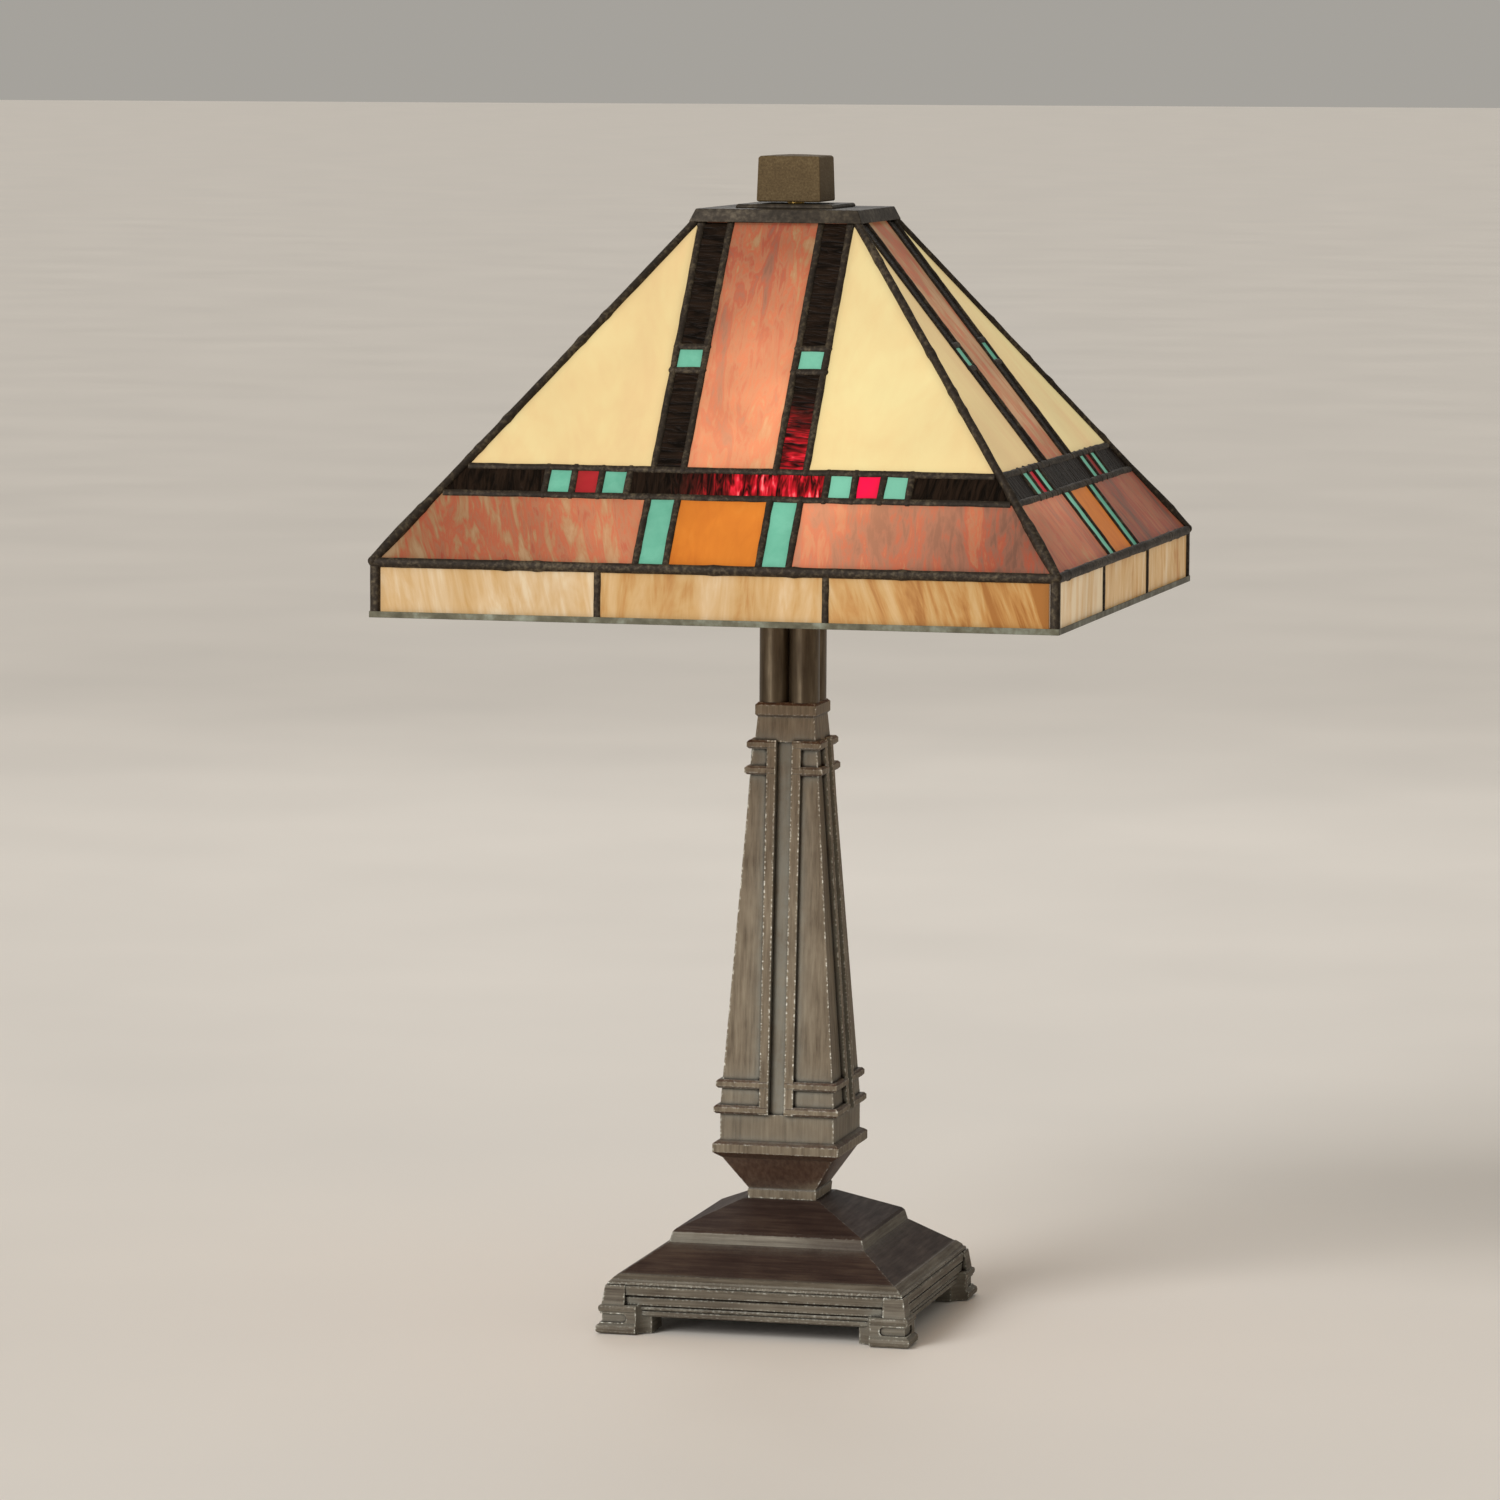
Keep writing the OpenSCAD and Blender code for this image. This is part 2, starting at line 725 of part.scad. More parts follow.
for (side = [0:3]) {
    name = side_names[side];
    color(solder) lattice(side);
    color(solder) apron_lattice(side);
    color([0.95, 0.87, 0.6]) panes("cream", side);
    color([0.8, 0.47, 0.36]) panes("rose", side);
    color([0.2, 0.03, 0.03]) panes("ruby", side);
    color([0.42, 0.76, 0.65]) panes("teal", side);
    color([0.88, 0.72, 0.47]) apron_panes(side);
}
color([0.75, 0.13, 0.13]) for (side = [0:3]) panes("red", side);  // red_tiles
color([0.93, 0.53, 0.17]) for (side = [0:3]) panes("amber", side);  // amber_panes
color(solder) seam_beads();
color(solder) rim_channel();
color(solder) top_frame();
color(bronze) cap_skirt();
color(bronze) cap_plate();
color(brass) finial_bush();
color(bronze) finial();
color(brass) seat_washer();
color(brass) riser_rod();
color(brass) seat_nut();
color(bronze) cluster_body();
for (set = [0:1]) {
    name = set == 0 ? "front" : "back";
    color(brass) socket_shell(set);
    color([0.12, 0.11, 0.1]) socket_liner(set);
    color([0.1, 0.1, 0.1]) switch_knob(set);
    color([0.75, 0.72, 0.66]) bulb_base(set);
    color([1, 0.96, 0.85]) bulb_glass(set);
}
color(bronze) neck_sleeve();
color(bronze) neck_cap();
color(bronze) column();
color(bronze) base();
color(brass) lamp_pipe();
color(brass) pipe_nuts();
color([0.15, 0.14, 0.13]) base_cover();
color([0.1, 0.1, 0.1]) foot_pad_discs(6.5, pad_t);  // foot_pads
color([0.08, 0.08, 0.08]) cord_bushing();
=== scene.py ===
"""Looks of the stained glass table lamp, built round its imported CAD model. Metres, +Z up, front is -Y."""

import itertools
import math
import random

import bmesh
import bpy
from mathutils import Matrix, Vector, noise


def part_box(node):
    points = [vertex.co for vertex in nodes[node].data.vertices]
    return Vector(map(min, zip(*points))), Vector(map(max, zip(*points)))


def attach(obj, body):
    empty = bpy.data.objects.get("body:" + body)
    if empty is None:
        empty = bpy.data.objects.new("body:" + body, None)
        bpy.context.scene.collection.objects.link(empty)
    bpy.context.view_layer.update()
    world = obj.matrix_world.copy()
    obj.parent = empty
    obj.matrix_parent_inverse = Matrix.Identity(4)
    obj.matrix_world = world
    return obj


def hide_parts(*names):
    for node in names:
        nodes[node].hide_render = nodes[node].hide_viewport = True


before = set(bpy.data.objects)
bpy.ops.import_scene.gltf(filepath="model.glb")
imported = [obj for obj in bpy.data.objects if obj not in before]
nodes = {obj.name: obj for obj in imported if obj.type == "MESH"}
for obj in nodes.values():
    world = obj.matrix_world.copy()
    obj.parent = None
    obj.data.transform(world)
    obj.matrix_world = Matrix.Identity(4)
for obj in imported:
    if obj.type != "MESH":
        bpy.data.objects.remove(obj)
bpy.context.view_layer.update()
MM = 0.001
SIDES = ["front", "right", "back", "left"]  # each a quarter turn on from the one before


# ---------- small tools ----------


def colour(r, g, b):
    """An 8-bit screen colour as Blender's linear colour."""
    def linear(value):
        c = value / 255
        return c / 12.92 if c <= 0.04045 else ((c + 0.055) / 1.055) ** 2.4

    return (linear(r), linear(g), linear(b), 1.0)


def middle_of(node):
    low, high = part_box(node)
    return (low + high) / 2


def turned(point, side):
    """A point on the front, moved to the same place on a side."""
    return Matrix.Rotation(math.radians(90 * side), 3, "Z") @ point


def mesh_object(name, bm, sharp=35):
    """A new object from bm, smooth except along edges that turn more than sharp degrees."""
    mesh = bpy.data.meshes.new(name)
    bmesh.ops.recalc_face_normals(bm, faces=bm.faces)
    bm.to_mesh(mesh)
    bm.free()
    mesh.shade_smooth()
    mesh.set_sharp_from_angle(angle=math.radians(sharp))
    made = bpy.data.objects.new(name, mesh)
    bpy.context.scene.collection.objects.link(made)
    return made


# ---------- shader graphs ----------


class Graph:
    """A material's node tree, built by short calls. A value may be a constant or another node's output."""

    def __init__(self, name):
        self.material = bpy.data.materials.new(name)
        self.material.use_nodes = True
        self.tree = self.material.node_tree
        self.shader = self.tree.nodes["Principled BSDF"]
        self.position = self.node("ShaderNodeTexCoord").outputs["Object"]

    def node(self, kind, **settings):
        made = self.tree.nodes.new(kind)
        for key, value in settings.items():
            setattr(made, key, value)
        return made

    def feed(self, socket, value):
        if isinstance(value, bpy.types.NodeSocket):
            self.tree.links.new(value, socket)
        else:
            socket.default_value = value

    def math(self, operation, a, b=0.0, c=0.0, clamp=False):
        made = self.node("ShaderNodeMath", operation=operation, use_clamp=clamp)
        for socket, value in zip(made.inputs, (a, b, c)):
            self.feed(socket, value)
        return made.outputs[0]

    def split(self, vector):
        made = self.node("ShaderNodeSeparateXYZ")
        self.feed(made.inputs[0], vector)
        return made.outputs

    def join(self, x, y, z):
        made = self.node("ShaderNodeCombineXYZ")
        for socket, value in zip(made.inputs, (x, y, z)):
            self.feed(socket, value)
        return made.outputs[0]

    def noise(self, vector, scale, detail=3.0, rough=0.5, warp=0.0):
        made = self.node("ShaderNodeTexNoise")
        self.feed(made.inputs["Vector"], vector)
        self.feed(made.inputs["Scale"], scale)
        made.inputs["Detail"].default_value = detail
        made.inputs["Roughness"].default_value = rough
        made.inputs["Distortion"].default_value = warp
        return made.outputs[0]

    def ramp(self, value, stops):
        """Colours along value, from stops of (place, colour)."""
        made = self.node("ShaderNodeValToRGB")
        points = made.color_ramp.elements
        while len(points) < len(stops):
            points.new(0.5)
        for point, (place, tint) in zip(points, stops):
            point.position = place
            point.color = tint
        self.feed(made.inputs[0], value)
        return made.outputs[0]

    def blend(self, share, a, b, mode="MIX"):
        made = self.node("ShaderNodeMix", data_type="RGBA", blend_type=mode)
        self.feed(made.inputs["Factor"], share)
        self.feed(made.inputs["A"], a)
        self.feed(made.inputs["B"], b)
        return made.outputs["Result"]

    def span(self, value, low, high, new_low=0.0, new_high=1.0):
        made = self.node("ShaderNodeMapRange")
        for socket, number in zip(made.inputs, (value, low, high, new_low, new_high)):
            self.feed(socket, number)
        return made.outputs[0]

    def spread(self, value, half, new_low=0.0, new_high=1.0):
        """Noise keeps near 0.5: its part within half of that, stretched to run from new_low to new_high."""
        return self.span(value, 0.5 - half, 0.5 + half, new_low, new_high)

    def drawn_noise(self, fine, scale, rough):
        """Noise whose pattern is finer along each axis by fine, and drawn out where fine is small."""
        x, y, z = self.split(self.position)
        across = self.math("MULTIPLY", x, fine[0])
        deep = self.math("MULTIPLY", y, fine[1])
        place = self.join(across, deep, self.math("MULTIPLY", z, fine[2]))
        return self.noise(place, scale, detail=4.0, rough=rough)

    def distance(self, point):
        made = self.node("ShaderNodeVectorMath", operation="DISTANCE")
        self.feed(made.inputs[0], self.position)
        made.inputs[1].default_value = point
        return made.outputs["Value"]

    def bump(self, height, strength, depth):
        made = self.node("ShaderNodeBump")
        made.inputs["Strength"].default_value = strength
        made.inputs["Distance"].default_value = depth
        self.feed(made.inputs["Height"], height)
        self.feed(self.shader.inputs["Normal"], made.outputs[0])

    def dimmed(self, tint, strength):
        """A colour times a strength."""
        return self.blend(1.0, tint, self.join(strength, strength, strength), "MULTIPLY")

    def open_sky(self, reach, inside=False):
        """How open the surface is within reach metres: low in a hollow or, measured inside, at an edge."""
        made = self.node("ShaderNodeAmbientOcclusion", samples=6, inside=inside, only_local=True)
        made.inputs["Distance"].default_value = reach
        return made.outputs["AO"]

    def set(self, **values):
        for key, value in values.items():
            self.feed(self.shader.inputs[key.replace("_", " ")], value)
        return self.material


# ---------- glass ----------

BULBS = [middle_of("front_bulb_glass"), middle_of("back_bulb_glass")]
HOT_OUT = 1.72       # a bulb lights the glass this many times as far out as it is itself
HOT_UP = 14 * MM     # and this much above its own middle
HOT_SPOTS = [Vector((bulb.x, bulb.y * HOT_OUT, bulb.z + HOT_UP)) for bulb in BULBS]
HOT_NEAR, HOT_FAR = 20 * MM, 62 * MM  # ruby is fully lit nearer than the first, dark beyond the second
GLOW_FALL = 4.0      # how steeply the glow ends at its reach


def hot_distance(g):
    """Metres to the nearer place where a bulb is close behind the glass."""
    return g.math("MINIMUM", g.distance(HOT_SPOTS[0]), g.distance(HOT_SPOTS[1]))


def glow(g, reach):
    """Nearly 1 beside a bulb, falling off over reach metres."""
    away = g.math("MINIMUM", g.distance(BULBS[0]), g.distance(BULBS[1]))
    near = g.math("DIVIDE", away, reach)
    return g.math("DIVIDE", 1.0, g.math("ADD", 1.0, g.math("POWER", near, GLOW_FALL)))


class Sheet:
    """What a pane's mesh tells its material: place across and along the grain, seed, lean, tint and rim."""

    def __init__(self, g):
        self.g = g
        grain = g.node("ShaderNodeAttribute", attribute_name="grain").outputs["Vector"]
        finish = g.node("ShaderNodeAttribute", attribute_name="finish").outputs["Vector"]
        self.across, self.along, self.seed = g.split(grain)
        self.lean, self.tint, self.rim = g.split(finish)

    def streaks(self, fine, along, warp, part=0.0, detail=4.0):
        """Noise drawn out along the grain, a different stretch of it on every pane."""
        g = self.g
        leaning = g.math("MULTIPLY_ADD", self.along, self.lean, self.across)
        place = g.join(
            g.math("MULTIPLY_ADD", self.seed, 3.71, g.math("MULTIPLY", leaning, fine)),
            g.math("MULTIPLY_ADD", self.seed, 5.13, g.math("MULTIPLY", self.along, along)),
            g.math("ADD", self.seed, part))
        return g.noise(place, 1.0, detail=detail, rough=0.62, warp=warp)


EDGE_SHADE = 0.25    # how much the glow dims along a pane's edges: painted shade where the solder hides the light


def opal_glass(name, stops, lit, broad, fine, ambient, gain, share=0.4, reach=110 * MM, tint=0.2,
               body=0.45, clouds=0.2, soak=0.85):
    """Streaky opalescent sheet, glowing by ambient everywhere and by gain more beside a bulb.

    broad and fine are (across, along, warp) of its two patterns and share is the fine one's share. lit is its
    colour beside a bulb, soak how fully that takes over and reach how far off. tint is how far panes differ,
    clouds how uneven the glow is, and body how pale the glass is apart from its glow.
    """
    g = Graph(name)
    sheet = Sheet(g)
    wide = sheet.streaks(*broad)
    thin = sheet.streaks(*fine, part=4.0)
    level = g.math("ADD", g.math("MULTIPLY", wide, 1.0 - share), g.math("MULTIPLY", thin, share))
    level = g.math("MULTIPLY_ADD", g.math("SUBTRACT", sheet.tint, 0.5), tint, level)
    tone = g.ramp(g.spread(level, 0.17), stops)
    near = glow(g, reach)
    shine = g.blend(g.math("MULTIPLY", near, soak, clamp=True), tone, lit)
    cloud = g.spread(g.noise(g.position, 24.0, detail=2.0), 0.2, 1.0 - clouds, 1.0 + clouds * 0.5)
    strength = g.math("MULTIPLY", g.math("MULTIPLY_ADD", near, gain, ambient), cloud)
    # painted shade: the glow is dimmed near a pane's edges
    strength = g.math("MULTIPLY", strength, g.span(sheet.rim, 0.0, 1.0, 1.0 - EDGE_SHADE, 1.0))
    ripple = g.noise(g.position, 110.0, detail=2.0)
    g.bump(g.math("MULTIPLY_ADD", thin, 0.6, ripple), 0.1, 0.6 * MM)
    return g.set(Base_Color=g.dimmed(tone, body), Emission_Color=g.dimmed(shine, strength),
                 Emission_Strength=1.0, Roughness=0.36, Specular_IOR_Level=0.07)


def ruby_glass():
    """Dark rippled ruby: nearly black, and red along its ripples where a bulb is close behind."""
    g = Graph("ruby_glass")
    sheet = Sheet(g)
    ripple = g.spread(sheet.streaks(360.0, 60.0, 0.8, detail=2.0), 0.16)
    patches = g.spread(g.noise(g.position, 130.0, detail=2.0), 0.2, 0.55, 1.0)
    near = g.math("POWER", g.span(hot_distance(g), HOT_FAR, HOT_NEAR), 1.4)
    near = g.math("MULTIPLY", near, patches)
    crest = g.math("MULTIPLY", ripple, g.math("MULTIPLY_ADD", near, 0.72, 0.28))
    crest = g.math("MULTIPLY_ADD", near, 0.16, crest)
    red = g.ramp(crest, [
        (0.12, colour(24, 2, 4)), (0.36, colour(96, 4, 12)), (0.62, colour(188, 8, 30)),
        (0.84, colour(244, 30, 56)), (1.0, colour(255, 128, 128))])
    body = g.ramp(ripple, [(0.1, colour(16, 11, 7)), (0.9, colour(38, 27, 19))])
    g.bump(ripple, 0.5, 1 * MM)
    return g.set(Base_Color=body, Emission_Color=g.dimmed(red, g.span(near, 0.0, 0.3)),
                 Emission_Strength=1.0, Roughness=0.36, Specular_IOR_Level=0.04)


def glass_materials():
    """Each kind of pane's material."""
    return {
        "cream_panes": opal_glass(
            "cream_glass",
            [(0.0, colour(230, 190, 138)), (0.45, colour(237, 207, 149)), (1.0, colour(243, 226, 166))],
            colour(246, 222, 158), broad=(16.0, 8.0, 0.5), fine=(44.0, 16.0, 0.7), share=0.3,
            ambient=0.54, gain=0.06, clouds=0.06),
        "rose_panes": opal_glass(
            "rose_glass",
            [(0.0, colour(130, 92, 78)), (0.18, colour(156, 104, 86)), (0.36, colour(186, 88, 66)),
             (0.5, colour(184, 122, 90)), (0.64, colour(200, 104, 74)), (0.8, colour(186, 138, 98)),
             (1.0, colour(198, 160, 120))],
            colour(255, 172, 122), broad=(42.0, 13.0, 1.3), fine=(150.0, 30.0, 1.4),
            ambient=0.24, gain=0.88, reach=111 * MM, clouds=0.25, body=0.34, soak=0.72),
        "teal_tiles": opal_glass(
            "teal_glass",
            [(0.0, colour(104, 178, 150)), (1.0, colour(130, 200, 172))],
            colour(132, 208, 176), broad=(60.0, 60.0, 0.3), fine=(160.0, 160.0, 0.5),
            ambient=0.48, gain=0.08, tint=0.4),
        "amber_panes": opal_glass(
            "amber_glass",
            [(0.0, colour(206, 112, 40)), (0.5, colour(224, 130, 46)), (1.0, colour(234, 150, 66))],
            colour(238, 142, 56), broad=(26.0, 14.0, 0.8), fine=(120.0, 40.0, 0.8),
            ambient=0.42, gain=0.16),
        "apron_panes": opal_glass(
            "apron_glass",
            [(0.0, colour(170, 108, 48)), (0.2, colour(196, 140, 76)), (0.4, colour(210, 166, 106)),
             (0.62, colour(220, 182, 130)), (0.82, colour(228, 196, 152)), (1.0, colour(236, 212, 174))],
            colour(230, 186, 132), broad=(34.0, 8.0, 1.9), fine=(100.0, 17.0, 1.6), share=0.34,
            ambient=0.44, gain=0.08, tint=0.24, clouds=0.12),
        "red_tiles": opal_glass(
            "red_glass",
            [(0.0, colour(164, 50, 40)), (1.0, colour(184, 66, 50))],
            colour(255, 0, 74), broad=(60.0, 60.0, 0.3), fine=(160.0, 160.0, 0.5),
            ambient=0.2, gain=1.5, reach=88 * MM, body=0.2, soak=1.7),
        "ruby_panes": ruby_glass(),
    }


# ---------- metals and the rest ----------


def worn_metal(name, dark, mid, light, grain, rough, metal, fine=(1, 1, 1), depth=0.3 * MM):
    """Bronze or solder finish, its grain finer along each axis by fine, and rough as (palest, darkest)."""
    g = Graph(name)
    lines = g.drawn_noise(fine, grain, rough=0.6)
    cloud = g.noise(g.position, 28.0, detail=4.0, rough=0.6)
    level = g.math("ADD", g.math("MULTIPLY", lines, 0.62), g.math("MULTIPLY", cloud, 0.38))
    body = g.ramp(g.spread(level, 0.2), [(0.0, dark), (0.5, mid), (1.0, light)])
    g.bump(lines, 0.45, depth)
    return g.set(Base_Color=body, Metallic=metal, Roughness=g.spread(level, 0.2, rough[1], rough[0]),
                 Specular_IOR_Level=0.25)


PATINA = colour(124, 122, 112)
# colour of the painted shade in creases
CREASE_PAINTED_SHADE = colour(34, 26, 20)
HOLLOW_REACH = 11 * MM     # how wide a hollow still holds patina
CREASE_REACH = 2.4 * MM    # how wide the painted shade along a corner is
EDGE_REACH = 1.1 * MM      # how far from an edge it is scuffed pale, partly as painted glints


def aged_bronze(name, faces, shaded_slope_tones, slope_from, fine, edge_wear_and_glint_tones):
    """Cast bronze finish: streaked faces, grey patina in the recesses, and darker tones as painted shade on
    faces far from upright above slope_from.

    Its creases are darkened as painted shade, and its edges are scuffed pale in specks, partly real scuffing
    and partly painted glints. The grain is finer along each axis by fine.
    """
    g = Graph(name)
    lines = g.drawn_noise(fine, 480.0, rough=0.65)
    cloud = g.noise(g.position, 30.0, detail=4.0, rough=0.6)
    level = g.spread(g.math("MULTIPLY_ADD", cloud, 0.4, g.math("MULTIPLY", lines, 0.6)), 0.18)
    lean = g.math("ABSOLUTE", g.split(g.node("ShaderNodeTexCoord").outputs["Normal"])[2])
    above = g.span(g.split(g.position)[2], slope_from, slope_from + 1 * MM)
    # painted shade: faces far from upright, above slope_from, take the darker tones
    sloping = g.math("MULTIPLY", g.span(lean, 0.35, 0.5), above)
    body = g.blend(sloping, g.ramp(level, faces), g.ramp(level, shaded_slope_tones))
    hollow = g.span(g.open_sky(HOLLOW_REACH), 0.97, 0.72)
    patches = g.span(g.noise(g.position, 90.0, detail=4.0, rough=0.7), 0.3, 0.6, 0.35, 1.0)
    body = g.blend(g.math("MULTIPLY", hollow, patches), body, PATINA)
    # painted shade: creases and concave corners darkened, found by ambient occlusion
    body = g.blend(g.span(g.open_sky(CREASE_REACH), 0.86, 0.55), body, CREASE_PAINTED_SHADE)
    # edges: pale specks, partly real scuffing and partly painted glints
    specks = g.noise(g.position, 700.0, detail=2.0, rough=0.6)
    edge_wear_and_glint = g.span(g.open_sky(EDGE_REACH, inside=True), 0.96, 0.6)
    wear_and_glint_mask = g.math("MULTIPLY", edge_wear_and_glint, g.span(specks, 0.42, 0.62))
    body = g.blend(wear_and_glint_mask, body, g.ramp(specks, [(0.5, edge_wear_and_glint_tones[0]), (0.68, edge_wear_and_glint_tones[1])]))
    g.bump(lines, 0.4, 0.25 * MM)
    return g.set(Base_Color=body, Metallic=0.12, Roughness=g.span(level, 0.0, 1.0, 0.66, 0.5),
                 Specular_IOR_Level=0.2)


def plain(name, tint, rough, metal=0.0, grain=250.0, vary=0.12):
    """An even finish, its brightness varying by the share vary."""
    g = Graph(name)
    spots = g.noise(g.position, grain, detail=3.0)
    deep = tuple(c * (1 - vary) for c in tint[:3]) + (1.0,)
    pale = tuple(min(1.0, c * (1 + vary)) for c in tint[:3]) + (1.0,)
    g.bump(spots, 0.2, 0.1 * MM)
    return g.set(Base_Color=g.ramp(spots, [(0.3, deep), (0.7, pale)]), Metallic=metal,
                 Roughness=g.spread(spots, 0.2, rough * 0.85, min(1.0, rough * 1.15)))


def lit_bulb():
    """The glass of a bulb that is on."""
    return Graph("bulb_light").set(Base_Color=colour(255, 248, 235), Roughness=0.35,
                                   Emission_Color=colour(255, 206, 140), Emission_Strength=2.2)


def give(node, material):
    """Puts a material on a CAD node, or on a piece made here."""
    made = nodes[node] if isinstance(node, str) else node
    made.data.materials.clear()
    made.data.materials.append(material)


def soften(node, width):
    """Joins a CAD node's faces and rounds its edges."""
    made = nodes[node]
    weld = made.modifiers.new("weld", "WELD")
    weld.merge_threshold = 0.01 * MM
    flat = made.modifiers.new("flat", "DECIMATE")
    flat.decimate_type = "DISSOLVE"
    flat.angle_limit = math.radians(0.6)
    bevel = made.modifiers.new("bevel", "BEVEL")
    bevel.width = width
    bevel.segments = 2
    bevel.limit_method = "ANGLE"
    bevel.angle_limit = math.radians(25)
    bevel.harden_normals = True
    bevel.use_clamp_overlap = True


# ---------- the pattern, read from the CAD panes ----------

HEART = 0.5 * MM         # half the metal between two panes
CLEAR = 0.05 * MM        # the gap from it to a pane
BRIDGED = 1.6 * MM       # a shorter break in a line is filled
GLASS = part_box("front_apron_panes")[1].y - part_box("front_apron_panes")[0].y   # its thickness


def solids_of(node):
    """The corner points of each separate solid in a CAD node."""
    mesh = nodes[node].data
    keys = [tuple(round(c, 6) for c in v.co) for v in mesh.vertices]
    group = {k: k for k in keys}

    def root(k):
        while group[k] != k:
            group[k] = group[group[k]]
            k = group[k]
        return k

    for face in mesh.polygons:
        first = root(keys[face.vertices[0]])
        for index in face.vertices[1:]:
            group[root(keys[index])] = first
    solids = {}
    for k in group:
        solids.setdefault(root(k), []).append(Vector(k))
    return list(solids.values())


class Slope:
    """The outer plane of the front's sloping glass, with u across it and v up it from the eave."""

    def __init__(self):
        mesh = nodes["front_cream_panes"].data
        facing = [f for f in mesh.polygons if f.normal.z > 0.1 and f.normal.y < -0.1]
        outer = max(facing, key=lambda f: f.area)
        self.normal = outer.normal.normalized()
        self.half = -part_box("front_apron_panes")[0].y
        reach = self.normal.dot(mesh.vertices[outer.vertices[0]].co)
        self.eave = Vector((0, -self.half, (reach + self.normal.y * self.half) / self.normal.z))
        self.up = Vector((1, 0, 0)).cross(self.normal) * -1
        if self.up.z < 0:
            self.up.negate()

    def flat(self, point):
        """(u, v, distance out of the glass) of a point on the front."""
        away = point - self.eave
        return away.x, away.dot(self.up), away.dot(self.normal)

    def solid(self, u, v, out):
        """The point that flat turns into (u, v, out)."""
        return self.eave + Vector((u, 0, 0)) + self.up * v + self.normal * out


slope = Slope()


class Apron:
    """The same for the front's upright apron, where v is negative, down from the eave."""

    def flat(self, point):
        away = point - slope.eave
        return away.x, away.z, -away.y

    def solid(self, u, v, out):
        return slope.eave + Vector((u, -out, v))


apron = Apron()


def front_outlines(face, kind):
    """The outer corners of each pane of a kind on the front, as lists of (u, v) in order round the pane."""
    node = kind if kind in nodes else "front_" + kind
    outlines = []
    for corners in solids_of(node):
        if min(c.y + abs(c.x) for c in corners) > 0 or max(c.y for c in corners) > 0:
            continue  # it is on another side
        on_face = [face.flat(c) for c in corners]
        outer = [Vector((u, v)) for u, v, out in on_face if abs(out) < 0.02 * MM]
        if len(outer) < 3:
            continue
        centre = sum(outer, Vector((0, 0))) / len(outer)
        outer.sort(key=lambda p: math.atan2(p.y - centre.y, p.x - centre.x))
        outlines.append(outer)
    outlines.sort(key=lambda outline: (round(outline[0].x, 4), round(outline[0].y, 4)))
    return outlines


def edge_lines(outlines, axis, shortest):
    """The middles of the gaps along the panes' straight edges: {place on axis in mm: [[start, end]]}.

    Axis 0 gives the upright lines at each u, and axis 1 the level lines at each v. Edges under shortest
    are left out.
    """
    gap = HEART + CLEAR
    lines = {}
    for outline in outlines:
        places = [p[axis] for p in outline]
        for place, sign in ((min(places), -1), (max(places), 1)):
            ends = [p[1 - axis] for p in outline if abs(p[axis] - place) < CLEAR]
            if max(ends) - min(ends) >= shortest:
                key = round((place + sign * gap) / MM, 1)
                lines.setdefault(key, []).append([min(ends) - gap, max(ends) + gap])
    return lines


def joined_runs(lines):
    """Edges that lie along one line and nearly meet, as single runs: [(place, start, end)]."""
    runs = []
    for place, spans in lines.items():
        spans.sort()
        merged = [spans[0]]
        for span in spans[1:]:
            if span[0] <= merged[-1][1] + BRIDGED:
                merged[-1][1] = max(merged[-1][1], span[1])
            else:
                merged.append(span)
        runs += [(place * MM, low, high) for low, high in merged]
    return runs


def pattern_lines(face, kinds):
    """The middles of the gaps between panes on the front: level (v, u0, u1), then upright (u, v0, v1)."""
    outlines = [outline for kind in kinds for outline in front_outlines(face, kind)]
    return joined_runs(edge_lines(outlines, 1, 0.0)), joined_runs(edge_lines(outlines, 0, 1 * MM))


# ---------- panes of glass ----------

SALT = "i"              # starts each pane's seed
ROSE_SALT = "v"         # chosen so that the rose panes' tints run as they do on the real lamp
HIP_GAP = 3.15 * MM     # from the hip to the panes' inner edges
HIP_REACH = 1.4 * MM    # how much nearer to it their outer edges come
RIM_STEPS = [1.2, 2.0, 3.2, 5.4]  # mm in from a pane's edge, where its mesh is cut for the edge shading
RIM_FADE = 1.6          # mm over which the edge shading fades, from the first cut
LEANS = {"rose_panes": (-0.1, 0.35), "apron_panes": (-0.15, 0.35), "cream_panes": (-0.6, 0.6)}
SMALL_LEANS = (-0.1, 0.1)         # how far the grain of other panes may lean


def cut_parallel(bm, outline):
    """Cuts a pane along lines parallel to its edges, so that its shading can change near them."""
    for start, end in zip(outline, outline[1:] + outline[:1]):
        run = (end - start).normalized()
        inward = Vector((-run.y, run.x, 0))
        for step in RIM_STEPS:
            place = Vector((start.x, start.y, 0)) + inward * step * MM
            everything = bm.verts[:] + bm.edges[:] + bm.faces[:]
            bmesh.ops.bisect_plane(bm, geom=everything, dist=1e-6, plane_co=place, plane_no=inward)


def edge_distance(point, outline):
    """How far inside an outline a point is."""
    away = []
    for start, end in zip(outline, outline[1:] + outline[:1]):
        run = (end - start).normalized()
        away.append((point.y - start.y) * run.x - (point.x - start.x) * run.y)
    return max(0.0, min(away))


def under_hip(point):
    """A pane's outer corner, moved out under the solder bead if it is on the hip."""
    to_hip = slope.half - point.y * slope.up.y - abs(point.x)
    if point.y < 0 or to_hip > HIP_GAP * 1.4:
        return point
    return Vector((point.x + math.copysign(HIP_REACH * math.sqrt(1 + slope.up.y ** 2), point.x), point.y))


def pane_block(inner, outline):
    """A pane with its outer face inside outline and its inner face inside inner."""
    bm = bmesh.new()
    high = [bm.verts.new((p.x, p.y, 0)) for p in outline]
    low = [bm.verts.new((p.x, p.y, -GLASS)) for p in inner]
    bm.faces.new(high)
    bm.faces.new(low[::-1])
    for i in range(len(outline)):
        j = (i + 1) % len(outline)
        bm.faces.new((high[j], high[i], low[i], low[j]))
    cut_parallel(bm, outline)
    return bm


